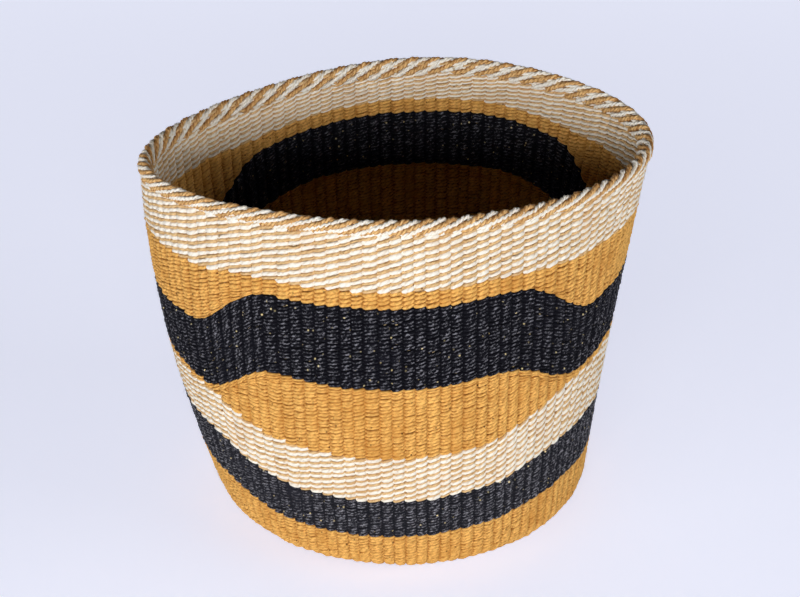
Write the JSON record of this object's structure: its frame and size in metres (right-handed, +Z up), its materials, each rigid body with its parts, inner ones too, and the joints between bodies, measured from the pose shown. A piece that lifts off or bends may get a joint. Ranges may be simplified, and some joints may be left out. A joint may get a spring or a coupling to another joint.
{
  "type": "kiondo basket",
  "caption": "Open twined sisal basket with a round flat base, an oval mouth and coloured bands, for carrying and storing things.",
  "frame": {"origin": "on the ground under the middle of the basket's bounding box", "axes": "+Z up, +X towards the right end of the oval mouth, +Y towards the back"},
  "size_m": [0.2612, 0.2205, 0.2048],
  "materials": {
    "raw_sisal": "matte undyed sisal cord",
    "tan_sisal": "matte golden brown twined sisal",
    "black_sisal": "matte black twined sisal",
    "striped_sisal": "matte white and tan sisal twined in diagonals"
  },
  "bodies": {
    "root": {"warp_skeleton": "raw_sisal", "base_start_weft": "raw_sisal", "base_weft": "tan_sisal", "heel_weft": "tan_sisal", "lower_tan_weft": "tan_sisal", "lower_black_weft": "black_sisal", "lower_striped_weft": "striped_sisal", "front_lens_weft": "tan_sisal", "back_lens_weft": "tan_sisal", "middle_tan_weft": "tan_sisal", "main_black_weft": "black_sisal", "left_wedge_weft": "tan_sisal", "right_wedge_weft": "tan_sisal", "front_upper_tan_weft": "tan_sisal", "back_upper_tan_weft": "tan_sisal", "left_upper_tan_weft": "tan_sisal", "right_upper_tan_weft": "tan_sisal", "upper_striped_weft": "striped_sisal", "rim_binding": "striped_sisal"}
  },
  "joints": []
}
